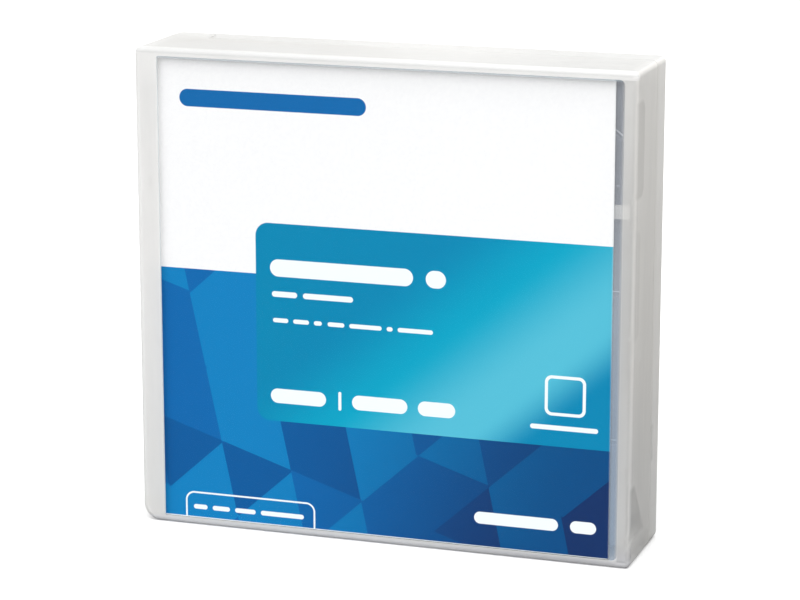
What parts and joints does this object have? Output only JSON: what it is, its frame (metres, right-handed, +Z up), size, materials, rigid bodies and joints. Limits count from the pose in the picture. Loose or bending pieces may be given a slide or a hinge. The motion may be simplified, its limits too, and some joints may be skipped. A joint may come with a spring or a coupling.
{
  "type": "data tape cartridge in library case",
  "caption": "Half-inch data tape cartridge with reel, brake, sliding door and write-protect switch, standing in a hinged translucent case with a printed insert card.",
  "frame": {"origin": "middle of the base of the closed case's bounding box", "axes": "+Z up with the case standing on its short edge, card window facing -Y, +X to the reader's right"},
  "size_m": [0.117, 0.0262, 0.1116],
  "materials": {
    "case_plastic": "translucent, frosted frame round a clear window",
    "card": "printed card",
    "shell_plastic": "fine textured",
    "reel_plastic": "satin",
    "plate_steel": "stamped",
    "tape": "glossy wound edge",
    "pin_steel": "turned",
    "spring_steel": "spring wire",
    "brake_plastic": "moulded",
    "door_plastic": "moulded",
    "switch_plastic": "moulded",
    "chip": "circuit board",
    "screw_steel": "plated",
    "label": "paper"
  },
  "bodies": {
    "tray": {"case_tray": "case_plastic", "top_shell": "shell_plastic", "bottom_shell": "shell_plastic", "leader_tape": "tape", "leader_pin": "pin_steel", "pin_springs": "spring_steel", "brake_spring": "spring_steel", "door_spring": "spring_steel", "memory_chip": "chip", "shell_screws": "screw_steel", "cartridge_label": "label"},
    "lid": {"case_lid": "case_plastic", "insert_card": "card"},
    "reel": {"reel_hub": "reel_plastic", "upper_flange": "reel_plastic", "drive_plate": "plate_steel", "tape_pack": "tape"},
    "brake": {"brake_button": "brake_plastic"},
    "release": {"release_pad": "brake_plastic"},
    "door": {"access_door": "door_plastic"},
    "write_protect": {"write_protect_switch": "switch_plastic"}
  },
  "joints": [
    {"name": "lid_hinge", "type": "hinge", "parent": "tray", "child": "lid", "pos_m": [-0.053, 0.0076, 0.0558], "axis": [0, 0, -1], "range_deg": [0, 130]},
    {"name": "reel_spin", "type": "hinge", "parent": "tray", "child": "reel", "pos_m": [0.004, 0, 0.05655], "axis": [0, -1, 0], "continuous": true},
    {"name": "brake_lift", "type": "slide", "parent": "tray", "child": "brake", "axis": [0, -1, 0], "range_m": [0, 0.0015], "stiffness_N_per_m": 600, "springref_m": -0.004, "deforming": ["brake_spring"]},
    {"name": "release_push", "type": "slide", "parent": "reel", "child": "release", "axis": [0, -1, 0], "range_m": [0, 0.0015]},
    {"name": "door_slide", "type": "slide", "parent": "tray", "child": "door", "axis": [-1, 0, 0], "range_m": [0, 0.0175], "stiffness_N_per_m": 20, "springref_m": -0.012, "deforming": ["door_spring"]},
    {"name": "write_protect_slide", "type": "slide", "parent": "tray", "child": "write_protect", "axis": [0, 0, 1], "range_m": [0, 0.0055]}
  ],
  "couplings": [
    {"joint": "release_push", "follows": "brake_lift", "ratio": 1}
  ]
}
